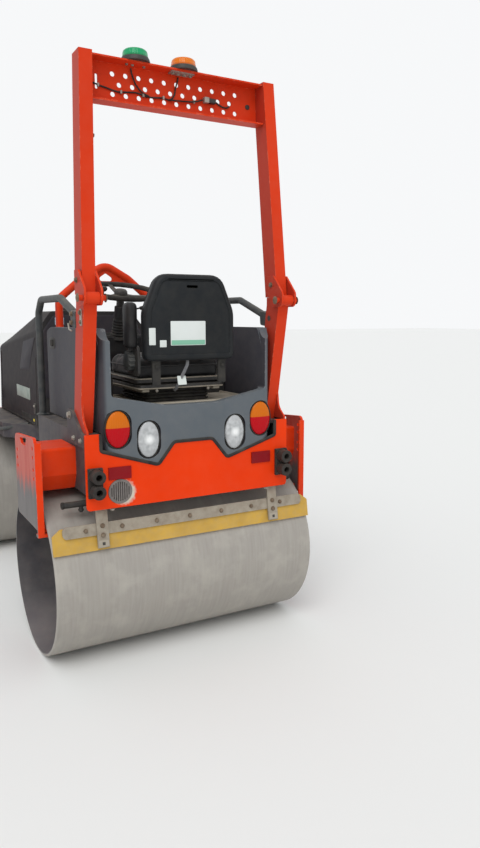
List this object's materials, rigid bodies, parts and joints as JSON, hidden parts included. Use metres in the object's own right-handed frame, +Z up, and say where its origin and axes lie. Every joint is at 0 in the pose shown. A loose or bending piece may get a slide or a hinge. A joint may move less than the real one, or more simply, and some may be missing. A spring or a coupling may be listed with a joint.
{
  "type": "tandem road roller",
  "caption": "Compact articulated tandem roller with two smooth drums, seat, folding roll-over frame, hood, scrapers and lamps.",
  "frame": {"origin": "on the ground under the middle of the overall box", "axes": "+X forward, +Y to the driver's left, +Z up"},
  "size_m": [2.5419, 1.268, 2.4608],
  "materials": {
    "orange": "gloss orange machine enamel, dusty and chipped",
    "frame_dark": "satin dark grey enamel",
    "cover_grey": "moulded grey plastic",
    "hood_grey": "moulded dark grey plastic",
    "drum_steel": "rolled steel, dusty, with streaks",
    "steel": "bare steel, dusty",
    "black_metal": "black enamel",
    "black_plastic": "black moulded plastic",
    "seat_vinyl": "black vinyl and moulded shell",
    "tail_lens": "ribbed amber and red lens",
    "clear_lens": "ribbed clear lens over a reflector",
    "red_reflector": "prism reflector",
    "scraper_yellow": "worn yellow polyurethane",
    "green_lens": "green beacon lens",
    "amber_lens": "amber beacon lens",
    "engine_iron": "engine castings",
    "chrome_rod": "hard chromed rod",
    "floor_plate": "dark tread plate"
  },
  "bodies": {
    "rear_body": {"rear_frame": "frame_dark", "rear_bumper": "orange", "rear_yoke_left": "orange", "rear_yoke_right": "orange", "rear_cover": "cover_grey", "tail_lamps": "tail_lens", "white_lamps": "clear_lens", "rear_reflectors": "red_reflector", "reverse_alarm": "black_plastic", "lashing_brackets_rear": "black_metal", "scraper_bar_rear": "steel", "scraper_blade_rear": "scraper_yellow", "spray_bar_rear": "black_plastic", "platform_floor": "floor_plate", "seat_deck": "cover_grey", "seat_base": "black_metal", "seat_cushion": "seat_vinyl", "seat_back": "seat_vinyl", "steering_console": "black_plastic", "travel_lever": "black_plastic", "front_hoop": "orange", "grab_handles": "frame_dark", "rops_low_posts": "orange"},
    "rops_top": {"rops_high_posts": "orange", "rops_beam": "orange", "beacon_green": "green_lens", "beacon_amber": "amber_lens"},
    "wheel": {"steering_wheel": "black_plastic"},
    "knuckle": {"pivot_knuckle": "steel"},
    "cylinder": {"steer_barrel": "black_metal"},
    "ram": {"steer_ram": "chrome_rod"},
    "front_body": {"front_frame": "frame_dark", "front_bumper": "orange", "front_yoke_left": "orange", "front_yoke_right": "orange", "engine_block": "engine_iron", "scraper_bar_front": "steel", "scraper_blade_front": "scraper_yellow", "spray_bar_front": "black_plastic", "head_lamps": "clear_lens", "lashing_brackets_front": "black_metal"},
    "hood_body": {"hood": "hood_grey", "hood_grille": "black_plastic"},
    "rear_roller": {"drum_rear": "drum_steel"},
    "front_roller": {"drum_front": "drum_steel"}
  },
  "joints": [
    {"name": "rear_drum_spin", "type": "hinge", "parent": "rear_body", "child": "rear_roller", "pos_m": [-0.84725, 0, 0.36], "axis": [0, 1, 0], "continuous": true},
    {"name": "front_drum_spin", "type": "hinge", "parent": "front_body", "child": "front_roller", "pos_m": [0.87275, 0, 0.36], "axis": [0, 1, 0], "continuous": true},
    {"name": "steer", "type": "hinge", "parent": "rear_body", "child": "knuckle", "pos_m": [0.01275, 0, 0.5], "axis": [0, 0, 1], "range_deg": [-33, 33]},
    {"name": "frame_roll", "type": "hinge", "parent": "knuckle", "child": "front_body", "pos_m": [0.08775, 0, 0.5], "axis": [1, 0, 0], "range_deg": [-8, 8]},
    {"name": "rops_fold", "type": "hinge", "parent": "rear_body", "child": "rops_top", "pos_m": [-1.23225, 0, 1.516], "axis": [0, -1, 0], "range_deg": [0, 115]},
    {"name": "hood_open", "type": "hinge", "parent": "front_body", "child": "hood_body", "pos_m": [1.21775, 0, 0.848], "axis": [0, 1, 0], "range_deg": [0, 70]},
    {"name": "wheel_turn", "type": "hinge", "parent": "rear_body", "child": "wheel", "pos_m": [-0.37225, 0, 1.575], "axis": [-0.2419, 0, 0.9703], "continuous": true},
    {"name": "cylinder_swing", "type": "hinge", "parent": "rear_body", "child": "cylinder", "pos_m": [-0.41725, 0.15, 0.5], "axis": [0, 0, 1], "range_deg": [-6, 6]},
    {"name": "ram_slide", "type": "slide", "parent": "cylinder", "child": "ram", "axis": [1, 0, 0], "range_m": [-0.085, 0.085]}
  ],
  "couplings": [
    {"joint": "ram_slide", "follows": "steer", "m_per_rad": -0.1419},
    {"joint": "cylinder_swing", "follows": "steer", "ratio": -0.03}
  ]
}
